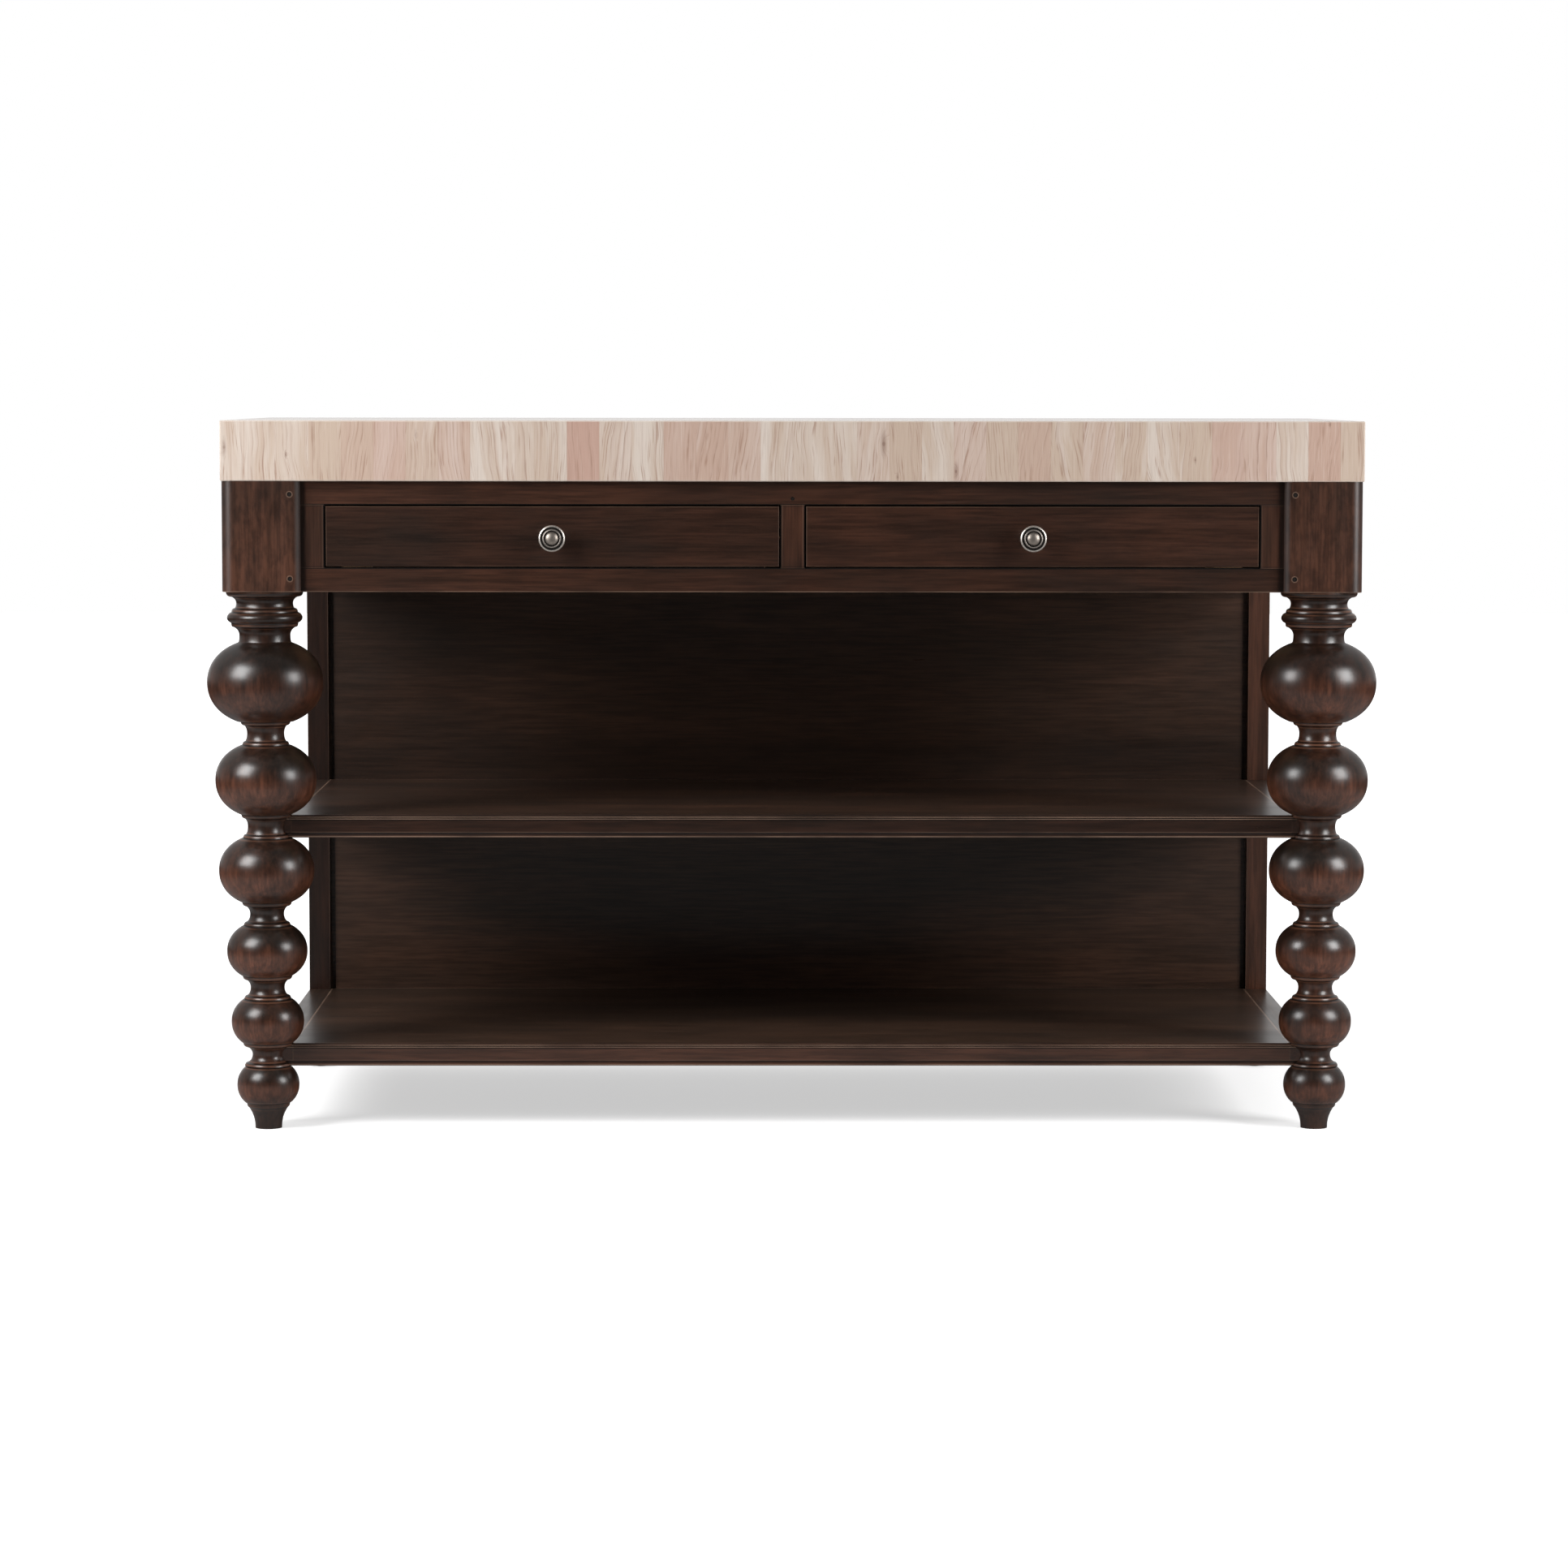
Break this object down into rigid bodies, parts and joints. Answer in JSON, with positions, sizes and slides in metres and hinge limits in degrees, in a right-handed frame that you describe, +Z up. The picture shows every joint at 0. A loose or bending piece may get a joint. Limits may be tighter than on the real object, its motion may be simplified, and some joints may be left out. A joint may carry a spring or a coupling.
{
  "type": "kitchen island",
  "caption": "Kitchen island with a thick wooden block top, inset drawers, turned bulb legs in front, square back posts, a back panel and open shelves.",
  "frame": {"origin": "on the floor, in the middle of the overall length and depth", "axes": "+Z up, +X along the length to the right as the drawers are faced, -Y towards the person at the drawers"},
  "size_m": [1.516, 0.6589, 0.921],
  "materials": {
    "dark_wood": "satin lacquer",
    "block_wood": "oiled",
    "drawer_wood": "bare, sealed",
    "pewter": "antique pewter",
    "steel": "zinc plated"
  },
  "bodies": {
    "island": {"butcher_block_top": "block_wood", "front_leg_left": "dark_wood", "front_leg_right": "dark_wood", "back_post_left": "dark_wood", "back_post_right": "dark_wood", "side_apron_left": "dark_wood", "side_apron_right": "dark_wood", "back_rail": "dark_wood", "back_panel": "dark_wood", "front_rail_upper": "dark_wood", "front_rail_lower": "dark_wood", "end_stile_left": "dark_wood", "end_stile_right": "dark_wood", "centre_mullion": "dark_wood", "frame_pegs": "dark_wood", "mid_shelf": "dark_wood", "mid_shelf_end_left": "dark_wood", "mid_shelf_end_right": "dark_wood", "low_shelf": "dark_wood", "low_shelf_end_left": "dark_wood", "low_shelf_end_right": "dark_wood", "floor_glides": "steel", "shelf_dowels": "drawer_wood", "runner_left": "drawer_wood", "runner_centre": "drawer_wood", "runner_right": "drawer_wood", "kicker_left": "drawer_wood", "kicker_centre": "drawer_wood", "kicker_right": "drawer_wood", "closing_stops": "drawer_wood", "pull_stop_blocks": "drawer_wood", "top_screws": "steel", "panel_screws": "steel"},
    "drawer_left": {"drawer_left_front": "dark_wood", "drawer_left_outer_side": "drawer_wood", "drawer_left_inner_side": "drawer_wood", "drawer_left_back": "drawer_wood", "drawer_left_bottom": "drawer_wood", "drawer_left_stop_tab": "drawer_wood", "knob_left": "pewter", "knob_screw_left": "steel"},
    "drawer_right": {"drawer_right_front": "dark_wood", "drawer_right_outer_side": "drawer_wood", "drawer_right_inner_side": "drawer_wood", "drawer_right_back": "drawer_wood", "drawer_right_bottom": "drawer_wood", "drawer_right_stop_tab": "drawer_wood", "knob_right": "pewter", "knob_screw_right": "steel"}
  },
  "joints": [
    {"name": "drawer_left_slide", "type": "slide", "parent": "island", "child": "drawer_left", "axis": [0, -1, 0], "range_m": [0, 0.38]},
    {"name": "drawer_right_slide", "type": "slide", "parent": "island", "child": "drawer_right", "axis": [0, -1, 0], "range_m": [0, 0.38]}
  ]
}
